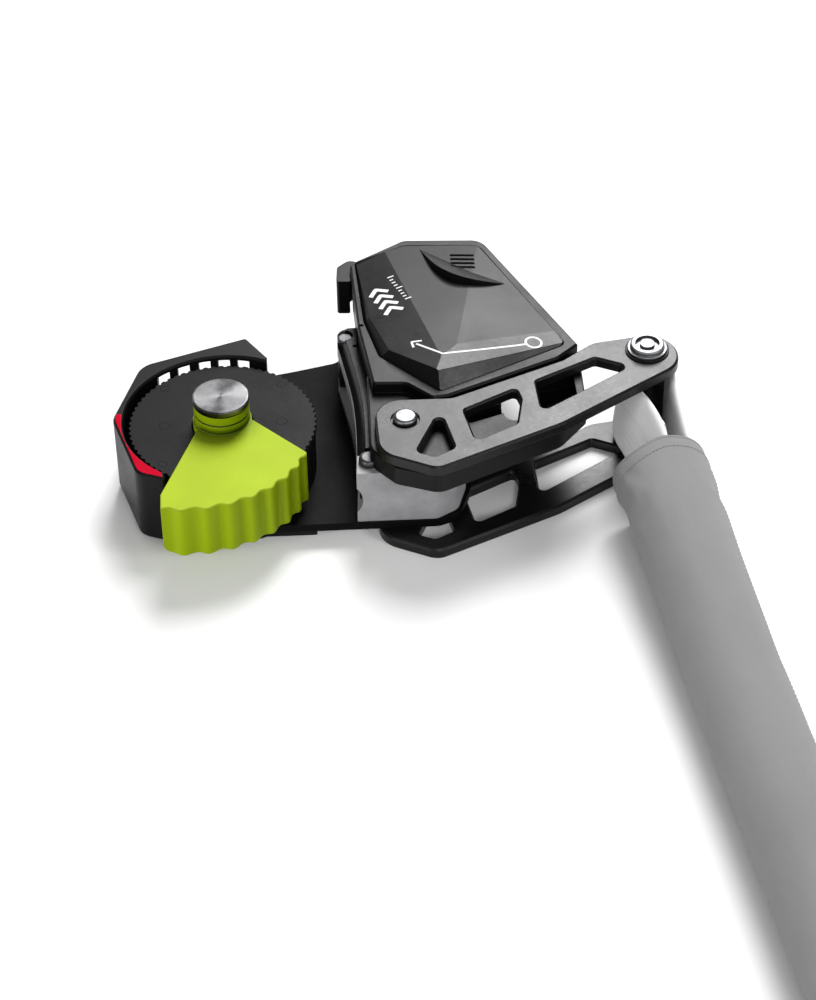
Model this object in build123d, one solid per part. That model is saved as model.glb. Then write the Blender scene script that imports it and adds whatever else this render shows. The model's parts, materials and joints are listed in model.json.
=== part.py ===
"""Guided rope-grab ascender with a lanyard absorber, millimetres.

The device lies on its back.  +Z points out of its front cover, +Y runs up the
rope and +X points from the wheel towards the lanyard bolt.  The origin is the
axis of the rope wheel, in the plane of the back.
"""
from build123d import *
import os
from math import cos, pi, radians, sin

# ---------------------------------------------------------------- main places
PIVOT = (49.2, -13.5)            # arm pivot pin
BOLT = (116.8, 12.1)             # lanyard bolt
ROPE_X, ROPE_Z, ROPE_R = 31.0, 13.3, 5.5
LATCH_PIVOT = (39.5, 57.0)

# ------------------------------------------------------------- stack heights
ARM_T = 3.0                      # each arm
BASE_LOW, BASE_TOP = 3.4, 5.8    # base plate
GUARD_LOW, GUARD_TOP = 2.1, 24.0
WHEEL_LOW, DISC_LOW, DISC_TOP = 6.2, 19.4, 21.8
CAM_TOP, SKIRT_LOW = 24.0, 8.3
HUB_TOP = 29.6
HEAD_LOW, HEAD_TOP = 30.0, 31.6
JAW_TOP = 22.6
FLANGE_TOP = 28.5                # housing under the front arm
FRONT_ARM_LOW = 28.9
LEDGE_TOP = 31.9                 # housing rim, level with the front arm
CAVITY_FLOOR = 24.8
LIP_LOW, LIP_TOP = 19.6, 24.8     # housing lip beside the rope

# -------------------------------------------------------------------- radii
AXLE_R = 4.0
RUN = 0.05                       # radial running clearance
WHEEL_R, DISC_R = 25.1, 25.5
GUARD_IN_R = 27.0
CAM_HUB_R, HUB_COLLAR_R = 8.0, 7.6
SKIRT_IN_R = 26.3
HEAD_R = 7.7
PIN_R, BOLT_R = 2.5, 4.0
SPACER_R = 5.2
WASHER_T = 0.4
PAWL_PIN_AT = 16.0

# --------------------------------------------------------- absorber and loop
STRAP_T, STRAP_LOW, STRAP_TOP = 2.6, 4.4, 27.6
SLEEVE_W, SLEEVE_H, SLEEVE_L = 27.4, 25.0, 198.0
SLEEVE_MOUTH = (117.4, -20.2)
SLEEVE_LEAN = 7.8                # degrees off -Y, towards +X
EYE_L, EYE_W = 42.0, 16.0        # sewn eye beyond the sleeve

WEAR = 0.15                      # small gap between parts of one body


# ------------------------------------------------------------------- helpers
def rounded(corners):
    """Flat face from corners given as (x, y, corner radius)."""
    face = Polygon(*[(x, y) for x, y, _ in corners], align=None)
    for x, y, radius in corners:
        if radius:
            corner = face.vertices().sort_by_distance((x, y, 0))[0]
            face = fillet(corner, radius)
    return face


def block(face, low, high):
    """Straight prism on a face, between two heights."""
    return extrude(Pos(0, 0, low) * face, amount=high - low, dir=(0, 0, 1))


def rod(radius, low, high, at=(0, 0)):
    return Pos(at[0], at[1], low) * Cylinder(radius, high - low, align=(Align.CENTER, Align.CENTER, Align.MIN))


def ring(outer, inner, low, high, at=(0, 0)):
    return rod(outer, low, high, at) - rod(inner, low - 1, high + 1, at)


def polar(radius, angle):
    return (radius * cos(radians(angle)), radius * sin(radians(angle)))


def coil(radius, wire, pitch, turns, at, low):
    """Round-wire coil spring standing along Z."""
    path = Helix(pitch=pitch, height=pitch * turns, radius=radius)
    section = Plane(origin=path @ 0, z_dir=path % 0) * Circle(wire)
    return Pos(at[0], at[1], low + wire) * sweep(section, path=path, is_frenet=True)


def toothed(radius, depth, count):
    """Face of a finely serrated wheel."""
    points = []
    for tooth in range(count):
        for part, offset in ((0.0, 0), (0.42, 0), (0.55, depth), (0.87, depth)):
            points.append(polar(radius - offset, 360.0 * (tooth + part) / count))
    return Polygon(*points, align=None)


def keep_below(shape, point, normal):
    """Cut a solid off above a plane through a point."""
    return split(shape, bisect_by=Plane(origin=point, z_dir=normal), keep=Keep.BOTTOM)


def plane_normal(a, b, c):
    """Upward normal of the plane through three points."""
    normal = (Vector(*b) - Vector(*a)).cross(Vector(*c) - Vector(*a)).normalized()
    return normal if normal.Z > 0 else normal * -1


def bevel_top(shape, height, size):
    """Chamfer every edge of the flat face at a height."""
    edges = shape.faces().filter_by(Axis.Z).sort_by(Axis.Z)[-1].edges()
    return chamfer(edges.filter_by(lambda e: abs(e.center().Z - height) < 0.01), size)


# ------------------------------------------------------------------- outlines
def arm_outline():
    return rounded([
        (40.8, -4.7, 7.5), (41.6, -27.0, 8.0), (56.8, -34.6, 5.0), (91.0, -18.0, 25.0),
        (125.4, 5.6, 8.4), (124.6, 20.5, 8.3), (102.0, 16.6, 6.0), (93.2, 9.4, 5.0),
        (62.2, -5.0, 6.0)])


def arm_windows():
    triangle = rounded([(58.6, -10.8, 1.3), (51.7, -27.0, 1.5), (56.4, -29.2, 1.5), (61.7, -26.0, 1.5)])
    quad = rounded([(65.1, -10.6, 1.2), (79.6, -2.4, 1.2), (80.6, -7.0, 3.0), (78.8, -17.0, 1.2),
                    (67.6, -23.4, 1.4)])
    long = rounded([(85.3, 0.6, 1.2), (102.2, 9.7, 1.5), (111.0, 5.4, 1.6), (86.0, -12.0, 1.3)])
    return triangle + quad + long


def guard_outline():
    return rounded([
        (12.2, 24.0, 0), (12.4, 26.1, 0), (6.5, 35.2, 0.8), (-22.6, 24.4, 6.5), (-29.9, 1.2, 6.0),
        (-22.8, -22.0, 5.0), (-15.0, -25.0, 0.6), (-15.6, -21.5, 0)])


def wheel_end_outline():
    """The part of the guard's floor that lies under the wheel and the rope."""
    return Polygon((-15.0, -24.9), (24.6, -24.9), (24.0, 10.0), (20.3, 42.0), (13.2, 40.4),
                   (12.2, 22.0), align=None)


def base_outline():
    body = rounded([
        (-8.0, -24.9, 0), (57.6, -24.9, 3.0), (63.4, -22.4, 4.0), (67.0, -12.0, 4.0), (63.0, 12.0, 8.0),
        (51.0, 60.5, 4.0), (37.0, 60.5, 3.0), (32.6, 45.4, 4.0), (20.0, 42.0, 1.0), (13.2, 40.4, 0.8),
        (13.2, 20.0, 0)])
    return body + Circle(GUARD_IN_R - WEAR)


def jaw_outline():
    face = make_face(Polyline((32.1, 31.0), (32.3, 38.9), (38.8, 39.2), (38.8, 58.5), (49.0, 58.5),
                              (61.0, 12.0), (65.6, -12.0), (63.0, -20.8), (57.2, -24.5), (35.6, -24.5))
                     + Spline((35.6, -24.5), (36.1, -8.0), (35.4, 8.0), (33.8, 20.0), (32.1, 31.0)))
    corners = face.vertices()
    for x, y, radius in ((65.6, -12.0, 4.0), (63.0, -20.8, 4.0), (57.2, -24.5, 3.0), (32.3, 38.9, 3.2)):
        face = fillet(corners.sort_by_distance((x, y, 0))[0], radius)
        corners = face.vertices()
    return face


def flank_outline():
    """Lip of the housing along the rope side of the jaw."""
    face = make_face(Polyline((32.2, 31.0), (32.4, 38.8), (43.0, 39.0), (45.0, -17.0), (36.0, -17.0))
                     + Spline((36.0, -17.0), (36.2, -8.0), (35.5, 8.0), (33.9, 20.0), (32.2, 31.0)))
    return fillet(face.vertices().sort_by_distance((32.4, 38.8, 0))[0], 3.2)


def ledge_outline():
    """Rim of the housing beside the front arm."""
    return rounded([
        (41.2, 2.4, 1.0), (38.0, 28.0, 6.0), (36.6, 57.6, 3.0), (52.4, 68.2, 4.0), (74.8, 67.0, 5.0),
        (98.2, 16.2, 0.5), (92.2, 10.5, 0), (61.4, -3.9, 2.5), (57.0, -4.6, 1.5), (50.2, 2.0, 3.0)])


def flange_outline():
    """Part of the housing that lies under the front arm."""
    return rounded([
        (39.8, 10.0, 0), (39.5, -21.4, 7.0), (46.0, -29.2, 4.0), (57.4, -33.6, 5.0), (90.8, -16.8, 7.0),
        (98.6, -7.0, 3.0), (98.6, 16.0, 0), (60.0, 12.0, 0)])


def seam_outline(inset=0.0):
    """Edge of the cover, inset all round when asked."""
    face = rounded([
        (43.2, 14.2, 3.0), (39.6, 30.0, 3.0), (38.0, 57.6, 1.5), (52.4, 65.2, 3.0), (73.8, 64.0, 3.5),
        (94.8, 16.2, 2.0), (59.0, -2.4, 2.0)])
    return offset(face, amount=-inset) if inset else face


# ------------------------------------------------------------ frame and wheel
def base_plate():
    plate = block(base_outline(), BASE_LOW, BASE_TOP) - rod(AXLE_R, 0, 9) - rod(PIN_R + RUN, 0, 9, PIVOT)
    for spot in jaw_screw_spots():
        plate -= rod(1.5, 0, 9, spot) + rod(2.8, 0, BASE_LOW + 1.2, spot)
    for angle in GUARD_SCREW_ANGLES:
        plate -= rod(1.25, 0, 9, polar(21.5, angle))
    return plate


def jaw_screw_spots():
    return [(44.0, 46.0), (52.0, 20.0), (59.5, -18.0)]


GUARD_SCREW_ANGLES = (100.0, 190.0, 280.0)


GUARD_SLOTS = (-16.4, -10.9, -5.1, 0.3, 5.7)      # x of each slot


def guard_windows():
    """Five upright slots through the wall beside the wheel."""
    slots = Part()
    for x in GUARD_SLOTS:
        slots += Pos(x, 31.0, 18.1) * Box(3.3, 22.0, 9.0)
    return slots


def marker_band(low, high):
    """Band along the guard's outer edge, on the side away from the rope."""
    band = offset(guard_outline(), amount=-0.6) - Circle(27.5)
    sector = Polygon((0, 0), polar(60, 174), (-60, -60), (-15.9, -60), (-15.9, -15), align=None)
    return block(band & sector, low, high)


def wheel_guard():
    wall = block(guard_outline() - Circle(GUARD_IN_R), GUARD_LOW, GUARD_TOP)
    wall = bevel_top(wall, GUARD_TOP, 0.5)
    floor = block(wheel_end_outline() + Circle(GUARD_IN_R + 0.2), GUARD_LOW, BASE_LOW)
    guard = wall + floor - guard_windows() - marker_band(22.5, 25.0)
    guard -= rod(AXLE_R, 0, 9)
    for angle in GUARD_SCREW_ANGLES:
        guard -= rod(1.25, 0, 9, polar(21.5, angle))
    return guard


def red_marker():
    return marker_band(22.5, 24.15)


def guard_screws():
    screws = []
    for angle in GUARD_SCREW_ANGLES:
        spot = polar(21.5, angle)
        head = rod(2.4, 0.8, GUARD_LOW, spot) - Pos(*spot, 0.8) * Box(2.9, 0.6, 1.0)
        screws.append(head + rod(1.25, GUARD_LOW, BASE_TOP - 0.2, spot))
    return Compound(screws)


def axle_pin():
    head = chamfer(rod(HEAD_R, HEAD_LOW, HEAD_TOP).edges().sort_by(Axis.Z)[-1], 0.3)
    return rod(AXLE_R, 0, HEAD_LOW) + head


def axle_nut():
    nut = block(RegularPolygon(7.4, 6), 0, GUARD_LOW) - rod(AXLE_R, -1, 9)
    return nut


def thrust_washers():
    return Compound([ring(7.0, AXLE_R + RUN, BASE_TOP, 6.05), ring(6.8, AXLE_R + RUN, 29.7, 29.95)])


def wheel_disc():
    disc = block(toothed(DISC_R, 0.45, 72), DISC_LOW, DISC_TOP) - rod(CAM_HUB_R + 0.5, 0, 40)
    for angle in PAWL_ANGLES:
        disc -= rod(1.5, 0, 40, polar(PAWL_PIN_AT, angle))
    for angle in RIVET_ANGLES:
        disc -= rod(1.2, 0, 40, polar(22.9, angle))
    return disc


PAWL_ANGLES = (0.0, 180.0)
RIVET_ANGLES = (45.0, 135.0, 225.0, 315.0)


def wheel_drum():
    """Serrated rim and rear web, open at the front for the pawls."""
    drum = block(toothed(WHEEL_R, 0.55, 48), WHEEL_LOW, DISC_LOW)
    drum -= ring(20.9, 8.0, WHEEL_LOW + 2.4, 40)
    drum -= rod(8.6, 11.6, 40) + rod(6.0, 0, 40)
    for angle in PAWL_ANGLES:
        drum -= rod(1.5, 0, 40, polar(PAWL_PIN_AT, angle))
    for angle in RIVET_ANGLES:
        drum -= rod(1.2, 0, 40, polar(22.9, angle))
    return drum


def wheel_bush():
    return ring(6.0, AXLE_R + RUN, WHEEL_LOW, 11.6)


def wheel_rivets():
    return Compound([rod(1.2, WHEEL_LOW, DISC_TOP, polar(22.9, angle)) for angle in RIVET_ANGLES])


def pawl_pin(angle):
    return rod(1.5, WHEEL_LOW, DISC_TOP, polar(PAWL_PIN_AT, angle))


def pawl_spring(angle):
    return coil(2.6, 0.35, 1.0, 2.5, polar(PAWL_PIN_AT, angle), 15.6)


def pawl(angle):
    """Flyweight that drops its nose into the ratchet when the wheel spins fast."""
    arc = ring(19.0, 12.4, 9.0, 15.0)
    sector = Polygon((0, 0), polar(40, -34), polar(40, 10), polar(40, 52), align=None)
    body = arc & block(sector, 0, 30)
    nose = block(Polygon(polar(10.7, -41), polar(17.5, -41), polar(17.5, -26), polar(12.6, -24), align=None),
                 9.0, 15.0)
    shape = body + nose - rod(1.5 + RUN, 0, 40, (PAWL_PIN_AT, 0))
    return Rot(0, 0, angle) * shape


# ---------------------------------------------------------------- locking cam
LOBE_PITCH = 9.8                 # degrees between crests
FLUTE_DEPTH = 1.15
CAM_FIRST, CAM_SLOPE, CAM_REACH = -106.0, 0.165, 39.6
CAM_ENDS = (-7.5, 71.0)          # degrees before and after the first crest


def cam_rim():
    """Spiral rim with rounded flutes, from the trailing to the leading end."""
    points = []
    start, end = CAM_ENDS
    steps = 42
    for step in range(steps + 1):
        turn = start + (end - start) * step / steps
        wave = FLUTE_DEPTH / 2 * (1 - cos(2 * pi * turn / LOBE_PITCH))
        points.append(polar(CAM_REACH - CAM_SLOPE * turn - wave, CAM_FIRST + turn))
    return points


def cam_sector():
    rim = cam_rim()
    leading, trailing = (7.6, -0.6), (-6.7, -4.4)
    sides = Polyline(rim[-1], leading, (0, 0), trailing, (-16.2, -31.0), rim[0])
    return make_face(Spline(*rim) + sides)


def locking_cam():
    sector = cam_sector()
    plate = block(sector, 22.1, CAM_TOP)
    skirt = block(sector - Circle(SKIRT_IN_R), SKIRT_LOW, 22.1)
    corner = skirt.edges().filter_by(GeomType.LINE).filter_by(lambda e: e.center().Z < SKIRT_LOW + 0.1)
    skirt = fillet(corner.sort_by(Axis.X)[0:2], 3.0)
    hub = rod(CAM_HUB_R, 12.0, CAM_TOP - 0.5) + rod(HUB_COLLAR_R, CAM_TOP - 0.5, HUB_TOP)
    hub -= ring(HUB_COLLAR_R + 1, HUB_COLLAR_R - 0.5, 26.6, 27.2)
    cam = bevel_top(plate, CAM_TOP, 0.3) + skirt + hub + cam_ratchet()
    cam -= rod(5.2, 0, 40)
    cam -= ring(7.0, 5.0, 12.0 - 1, 18.0)
    return cam


def cam_ratchet():
    """Six teeth on the sleeve inside the wheel, for the pawls' noses."""
    teeth = Part()
    for tooth in range(6):
        wedge = Polygon(polar(7.5, -12), polar(9.9, -9), polar(9.9, 9), polar(7.5, 20), align=None)
        teeth += Rot(0, 0, 50.0 + 60.0 * tooth) * block(wedge, 12.0, 16.0)
    return teeth


def cam_bush():
    return ring(5.2, AXLE_R + RUN, 12.0, HUB_TOP)


def cam_return_spring():
    return coil(6.1, 0.4, 1.1, 4.0, (0, 0), 12.8)


# ------------------------------------------------------------- jaw and housing
def steel_jaw():
    jaw = block(jaw_outline(), BASE_TOP, JAW_TOP)
    channel = Pos(ROPE_X, 12, ROPE_Z) * Rot(90, 0, 0) * Cylinder(ROPE_R + 0.7, 90)
    jaw -= channel + rod(PIN_R + RUN, 0, 40, PIVOT)
    jaw -= block(flank_outline(), LIP_LOW, 40)
    jaw -= rod(POST_R, 0, 40, POST) + rod(2.8, 0, 40, (39.2, -19.6))
    for spot in jaw_screw_spots():
        jaw -= rod(1.5, 0, 15.0, spot)
    for spot in housing_screw_spots():
        jaw -= rod(1.3, 12.0, 40, spot)
    return jaw


POST, POST_R = (34.4, 33.4), 2.1


def jaw_post():
    """Hardened post at the upper end of the rope groove."""
    post = rod(POST_R, BASE_TOP, 24.0, POST)
    return fillet(post.edges().sort_by(Axis.Z)[-1], 0.5)


def jaw_stud():
    stud = rod(2.8, BASE_TOP, 24.6, (39.2, -19.6))
    return fillet(stud.edges().sort_by(Axis.Z)[-1], 1.0)


def jaw_screws():
    screws = []
    for spot in jaw_screw_spots():
        head = rod(2.8, BASE_LOW, BASE_LOW + 1.2, spot) - Pos(*spot, BASE_LOW) * Box(3.0, 0.7, 0.9)
        screws.append(head + rod(1.5, BASE_LOW + 1.2, 14.5, spot))
    return Compound(screws)


def housing_screw_spots():
    return [(45.5, 38.0), (56.0, 4.0)]


def housing_shell():
    """Shell on top of the jaw, with a rim for the cover and a step for the arm."""
    shell = bevel_top(block(flange_outline(), JAW_TOP, FLANGE_TOP), FLANGE_TOP, 0.4)
    shell += block(ledge_outline(), JAW_TOP, FLANGE_TOP)
    shell += bevel_top(block(ledge_outline(), FLANGE_TOP - 1, LEDGE_TOP), LEDGE_TOP, 0.5)
    shell += housing_lip()
    shell -= block(seam_outline(1.8), CAVITY_FLOOR, 40)
    shell -= block(seam_outline(), LEDGE_TOP - 1.6, 40)
    shell -= rod(PIN_R + RUN, 0, 40, PIVOT) + ring(5.6, 3.4, 24.4, 40, PIVOT)
    shell -= rod(POST_R + 0.1, 0, 40, POST) + rod(3.2, 0, 25.0, (39.2, -19.6))
    shell -= flange_pockets() + latch_room()
    for spot in housing_screw_spots():
        shell -= rod(1.3, 0, 40, spot) + rod(2.4, CAVITY_FLOOR - 0.7, 40, spot)
    return shell


def housing_lip():
    """Sloping lip that covers the rope side of the jaw."""
    lip = block(flank_outline(), LIP_LOW, LIP_TOP)
    rope_side = [edge for edge in lip.faces().sort_by(Axis.Z)[-1].edges() if edge.center().X < 36]
    lip = chamfer(rope_side, 4.6, 2.3)
    return lip - block(flange_outline() + ledge_outline(), 0, JAW_TOP + 0.5)


def flange_pockets():
    """Two pockets under the arm's windows, and a slanting hole through the first."""
    first = rounded([(66.4, -4.0, 1.0), (66.0, -12.4, 1.0), (76.4, -8.4, 1.0), (76.6, 0.0, 1.0)])
    second = rounded([(84.6, 5.0, 1.0), (85.2, -9.4, 1.0), (96.4, -3.4, 1.5), (96.0, 8.0, 1.0)])
    hole = Pos(0, 0, FLANGE_TOP + 0.6) * rounded([(75.9, -1.6, 2.0), (75.9, -14.0, 3.2), (83.6, -11.0, 2.0),
                                                  (83.6, -1.6, 2.0)])
    slant = extrude(hole, amount=10.5, dir=(0, 0.756, -0.654))
    return block(first + second, 23.8, LEDGE_TOP - 1) + slant


def latch_room():
    """Notch in the left wall that the gate hook swings in."""
    corners = Polygon((30.0, 48.6), (40.4, 48.6), (44.0, 54.0), (43.6, 61.2), (30.0, 63.0), align=None)
    return block(corners, JAW_TOP - 1, 30.4)


def housing_screws():
    screws = []
    for spot in housing_screw_spots():
        head = rod(2.3, CAVITY_FLOOR - 0.7, CAVITY_FLOOR + 0.9, spot)
        head -= Pos(*spot, CAVITY_FLOOR + 0.9) * Box(3.0, 0.7, 1.0)
        screws.append(head + rod(1.3, 12.5, CAVITY_FLOOR - 0.7, spot))
    return Compound(screws)


# Points on the cover's facets, as (x, y, height above the rim)
COVER_NEAR = (58.4, 1.8, 4.3)         # top of the corner by the arm
COVER_BEND = (46.3, 13.6, 2.4)
CREST_TOP = (47.3, 60.5, 0.5)
CREST_LEFT = (55.8, 21.0, 3.3)
CREST_NEAR = (61.5, 12.3, 4.2)
CREST_RIGHT = (92.5, 21.5, 0.7)
FAR_CORNER = (73.5, 63.0, 0.3)
# The cover's sloping walls: two points at its foot, foot below the rim, inset of the wall's top, its height
COVER_WALLS = (
    ((38.2, 57.6), (39.8, 30.0), 0.7, 2.4, 3.0),
    ((39.8, 30.0), (43.4, 14.2), 0.7, 2.4, 3.0),
    ((43.4, 14.2), (59.0, -2.2), 0.5, 2.4, 4.6),
    ((59.0, -2.2), (94.6, 16.2), 0.2, 3.2, 4.3),
)


def cover_solid(face, drop):
    """Faceted cover over a face, lowered by drop."""
    def lift(x, y, height):
        return (x, y, LEDGE_TOP + height - drop)

    solid = block(face, LEDGE_TOP - 1.5, 45.0)
    facets = ((CREST_TOP, CREST_LEFT, FAR_CORNER), (FAR_CORNER, CREST_NEAR, CREST_RIGHT),
              (CREST_TOP, COVER_BEND, COVER_NEAR), (COVER_NEAR, CREST_NEAR, CREST_RIGHT))
    for a, b, c in facets:
        solid = keep_below(solid, lift(*a), plane_normal(lift(*a), lift(*b), lift(*c)))
    for foot_a, foot_b, sunk, inset, height in COVER_WALLS:
        run = Vector(*foot_b) - Vector(*foot_a)
        inward = Vector(-run.Y, run.X) * (inset / run.length)
        top = (foot_a[0] + inward.X, foot_a[1] + inward.Y, height - sunk)
        a, b, c = lift(*foot_a, -sunk), lift(*foot_b, -sunk), lift(*top)
        solid = keep_below(solid, a, plane_normal(a, b, c))
    return solid


def cover_panel():
    outer = cover_solid(seam_outline(0.15), 0.0)
    inner = cover_solid(seam_outline(1.95), 1.7)
    return outer - inner - Pos(0, 0, -2) * inner


def thumb_pad():
    """Raised pad in the far corner of the cover, highest in the middle of its curved edge."""
    edge = Spline((56.9, 62.6), (59.6, 54.0), (62.4, 48.6), (66.4, 45.0), (72.0, 43.4), (79.8, 44.0))
    face = make_face(edge + Polyline((79.8, 44.0), (72.4, 61.8), (70.8, 62.6), (56.9, 62.6)))
    pad = block(face, LEDGE_TOP + 0.1, 45.0)
    top = [(x, y, LEDGE_TOP + height) for x, y, height in ((56.9, 62.4, 0.45), (79.8, 44.0, 0.85), (63.0, 47.4, 4.0))]
    pad = keep_below(pad, top[0], plane_normal(*top))
    return pad - cover_solid(seam_outline(), -0.02)


def latch_hook():
    hook = block(rounded([(32.6, 51.6, 1.0), (36.4, 51.4, 0.6), (38.0, 53.4, 0.6), (42.4, 54.6, 0.6),
                          (42.0, 59.4, 1.2), (36.4, 61.6, 2.0), (33.0, 58.4, 2.0)]), JAW_TOP + 0.2, 30.1)
    nose = block(rounded([(32.6, 51.6, 1.0), (36.4, 51.4, 0.6), (36.4, 58.0, 0.6), (33.0, 57.6, 1.0)]),
                 18.8, JAW_TOP + 1)
    return hook + nose - rod(1.2 + RUN, 0, 40, LATCH_PIVOT)


def latch_pin():
    return rod(1.2, JAW_TOP, 30.4, LATCH_PIVOT)


def pivot_pin():
    head = fillet(rod(3.3, 31.3, 33.3, PIVOT).edges().sort_by(Axis.Z)[-1], 1.0)
    return head + rod(PIN_R, 0.1, 32.0, PIVOT) + rod(3.4, 0.1, 1.1, PIVOT)


def pivot_washers():
    rear = ring(5.2, PIN_R + RUN, ARM_T + 0.08, BASE_LOW, PIVOT)
    front = ring(5.2, PIN_R + RUN, FLANGE_TOP, FRONT_ARM_LOW - 0.08, PIVOT)
    return Compound([rear, front])


def arm_spring():
    return coil(4.5, 0.45, 1.2, 2.5, PIVOT, 24.6)


# ----------------------------------------------------------------------- arms
def arm_plate(low, bolt_radius):
    arm = block(arm_outline() - arm_windows(), low, low + ARM_T)
    arm = bevel_top(arm, low + ARM_T, 0.55)
    return arm - rod(PIN_R + RUN, low - 1, low + 9, PIVOT) - rod(bolt_radius, low - 1, low + 9, BOLT)


def arm_front():
    return arm_plate(FRONT_ARM_LOW, BOLT_R) - rod(3.9, 31.2, 40, PIVOT)


def arm_rear():
    return arm_plate(0, 5.0) - rod(3.7, -1, 1.3, PIVOT)


def attachment_bolt():
    low = FRONT_ARM_LOW + ARM_T + WASHER_T
    head = rod(5.4, low, low + 0.8, BOLT) + rod(4.7, low + 0.8, low + 2.1, BOLT)
    head = fillet(head.edges().sort_by(Axis.Z)[-1], 0.5)
    head -= ring(3.3, 2.0, low + 1.1, low + 9, BOLT)
    return head + rod(BOLT_R, 0.6, low, BOLT)


def bolt_washer():
    top = FRONT_ARM_LOW + ARM_T
    return ring(6.0, BOLT_R + RUN, top, top + WASHER_T, BOLT)


def bolt_nut():
    return ring(5.0, BOLT_R, 0.05, ARM_T, BOLT)


def spacer_bush():
    return ring(SPACER_R, BOLT_R, ARM_T, FRONT_ARM_LOW, BOLT)


# ------------------------------------------------------------------- absorber
def along(distance, side=0.0):
    """Point on the absorber's centre line, measured from the sleeve's mouth."""
    lean = radians(SLEEVE_LEAN)
    x = SLEEVE_MOUTH[0] + distance * sin(lean) + side * cos(lean)
    y = SLEEVE_MOUTH[1] - distance * cos(lean) + side * sin(lean)
    return (x, y)


def webbing_loop():
    """Strap that goes round the spacer and down both sides into the sleeve."""
    inner, outer = SPACER_R + 0.4, SPACER_R + 0.4 + STRAP_T
    left, right = along(-1.0, -9.0), along(-1.0, 8.5)
    bend = rod(outer, STRAP_LOW, STRAP_TOP, BOLT) - rod(inner, 0, 40, BOLT)
    below = block(Polygon((BOLT[0] - 20, BOLT[1]), (BOLT[0] + 20, BOLT[1]), (BOLT[0] + 20, BOLT[1] - 30),
                          (BOLT[0] - 20, BOLT[1] - 30), align=None), 0, 40)
    legs = Part()
    for side, foot in ((-1, left), (1, right)):
        legs += block(Polygon((BOLT[0] + side * inner, BOLT[1]), (BOLT[0] + side * outer, BOLT[1]),
                              (foot[0] + side * STRAP_T / 2, foot[1]), (foot[0] - side * STRAP_T / 2, foot[1]),
                              align=None), STRAP_LOW, STRAP_TOP)
    return bend - below + legs


def sleeve_section(distance, lift, scale=1.0):
    lean = radians(SLEEVE_LEAN)
    x, y = along(distance)
    frame = Plane(origin=(x, y, SLEEVE_H / 2 + lift), x_dir=(cos(lean), sin(lean), 0),
                  z_dir=(sin(lean), -cos(lean), 0))
    return frame * RectangleRounded(SLEEVE_W * scale, SLEEVE_H * scale, 9.0 * scale)


def absorber_sleeve():
    """Closed outer shape of the padded cover, resting on the ground away from the arms."""
    return loft([sleeve_section(0, 3.5), sleeve_section(80, 0.2), sleeve_section(SLEEVE_L, 0.2)], ruled=True)


def absorber_eye():
    """Sewn eye at the harness end."""
    start, width = SLEEVE_L + 0.2, 23.0
    place = Pos(*along(start + EYE_L / 2)) * Rot(0, 0, SLEEVE_LEAN)
    outer = place * RectangleRounded(EYE_W, EYE_L, EYE_W / 2 - 0.1)
    inner = place * RectangleRounded(EYE_W - 2 * STRAP_T, EYE_L - 2 * STRAP_T, EYE_W / 2 - STRAP_T - 0.1)
    return block(outer - inner, 1.2, 1.2 + width)


# --------------------------------------------------------------------- export
PARTS = {
    "base_plate": base_plate, "wheel_guard": wheel_guard, "red_marker": red_marker,
    "guard_screws": guard_screws, "axle_pin": axle_pin, "axle_nut": axle_nut,
    "thrust_washers": thrust_washers, "wheel_disc": wheel_disc, "wheel_drum": wheel_drum,
    "wheel_bush": wheel_bush, "wheel_rivets": wheel_rivets,
    "pawl_pin_a": lambda: pawl_pin(0.0), "pawl_pin_b": lambda: pawl_pin(180.0),
    "pawl_spring_a": lambda: pawl_spring(0.0), "pawl_spring_b": lambda: pawl_spring(180.0),
    "pawl_a": lambda: pawl(0.0), "pawl_b": lambda: pawl(180.0),
    "locking_cam": locking_cam, "cam_bush": cam_bush, "cam_return_spring": cam_return_spring,
    "steel_jaw": steel_jaw, "jaw_post": jaw_post, "jaw_stud": jaw_stud, "jaw_screws": jaw_screws,
    "housing_shell": housing_shell, "housing_screws": housing_screws, "cover_panel": cover_panel,
    "thumb_pad": thumb_pad, "latch_hook": latch_hook, "latch_pin": latch_pin,
    "pivot_pin": pivot_pin, "pivot_washers": pivot_washers, "arm_spring": arm_spring,
    "arm_front": arm_front, "arm_rear": arm_rear, "attachment_bolt": attachment_bolt,
    "bolt_washer": bolt_washer, "bolt_nut": bolt_nut, "spacer_bush": spacer_bush, "webbing_loop": webbing_loop,
    "absorber_sleeve": absorber_sleeve, "absorber_eye": absorber_eye,
}

if __name__ == "__main__":
    os.makedirs("parts", exist_ok=True)
    for name, make in PARTS.items():
        export_step(make(), f"parts/{name}.step")
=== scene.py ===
"""Guided rope-grab ascender with a lanyard absorber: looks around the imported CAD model.  Metres."""
import json
import math

import bpy
from mathutils import Matrix, Vector
from mathutils.bvhtree import BVHTree


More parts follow.
